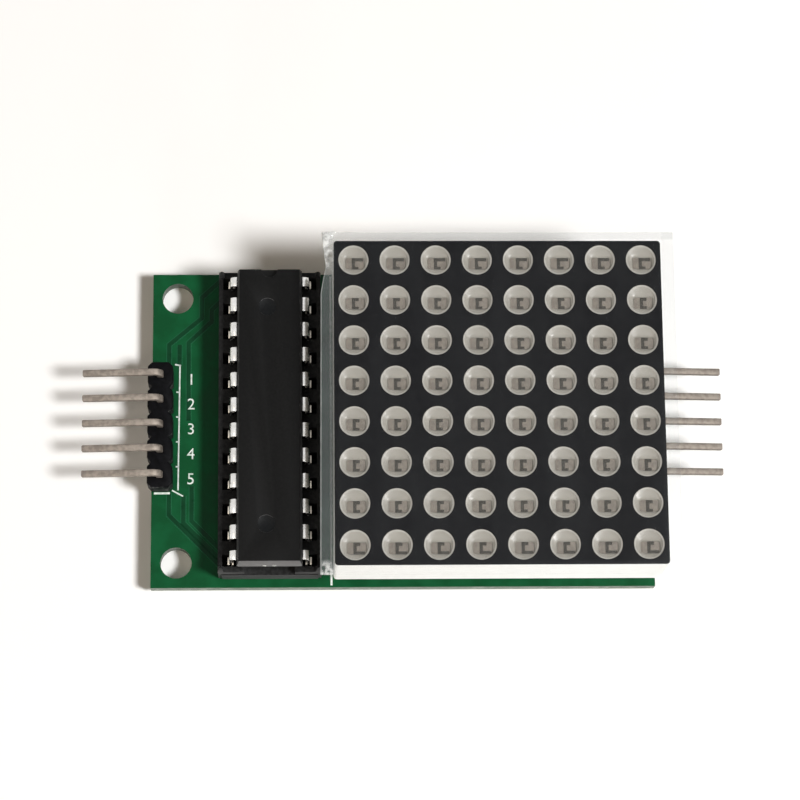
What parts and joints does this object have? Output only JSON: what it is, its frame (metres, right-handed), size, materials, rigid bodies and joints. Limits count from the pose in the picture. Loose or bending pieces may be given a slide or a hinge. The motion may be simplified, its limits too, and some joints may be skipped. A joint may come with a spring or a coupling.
{
  "type": "led dot matrix display module",
  "caption": "Square dot matrix display plugged into a green driver board beside a socketed chip, with bent pin headers at both ends and mounting holes in the corners.",
  "frame": {"origin": "on the board's underside, at the middle of its four mounting holes", "axes": "+X from the input pins to the output pins, +Y to the chip's notched end, +Z out of the display"},
  "size_m": [0.0636, 0.0336, 0.0159],
  "materials": {
    "solder_mask": "green solder mask over glass laminate",
    "white_housing": "white moulded plastic with a black printed face",
    "milky_resin": "milky cast resin",
    "inner_board": "pale laminate",
    "potting": "cast resin",
    "tinned_wire": "tinned wire",
    "clear_film": "clear protective film",
    "black_socket": "black glass-filled plastic",
    "spring_metal": "tinned spring bronze",
    "mould_compound": "charcoal moulding compound",
    "tinned_lead": "bright tinned leads",
    "black_header": "black plastic",
    "header_pin": "dull tinned pins",
    "resistor_paint": "pale blue lacquer with colour bands",
    "ceramic_coat": "ochre dipped coat",
    "can_sleeve": "dark sleeve over an aluminium can",
    "rubber_bung": "black rubber"
  },
  "bodies": {
    "root": {"circuit_board": "solder_mask", "matrix_housing": "white_housing", "led_windows": "milky_resin", "led_board": "inner_board", "potting_resin": "potting", "matrix_pins_front": "tinned_wire", "matrix_pins_rear": "tinned_wire", "protective_film": "clear_film", "display_socket_front": "black_socket", "display_socket_rear": "black_socket", "display_contacts_front": "spring_metal", "display_contacts_rear": "spring_metal", "ic_socket": "black_socket", "ic_socket_contacts": "spring_metal", "driver_ic": "mould_compound", "driver_ic_leads": "tinned_lead", "input_header": "black_header", "input_pins": "header_pin", "output_header": "black_header", "output_pins": "header_pin", "resistor_body": "resistor_paint", "resistor_leads": "tinned_wire", "ceramic_capacitor": "ceramic_coat", "ceramic_capacitor_leads": "tinned_wire", "capacitor_can": "can_sleeve", "capacitor_bung": "rubber_bung", "capacitor_leads": "tinned_wire"}
  },
  "joints": []
}
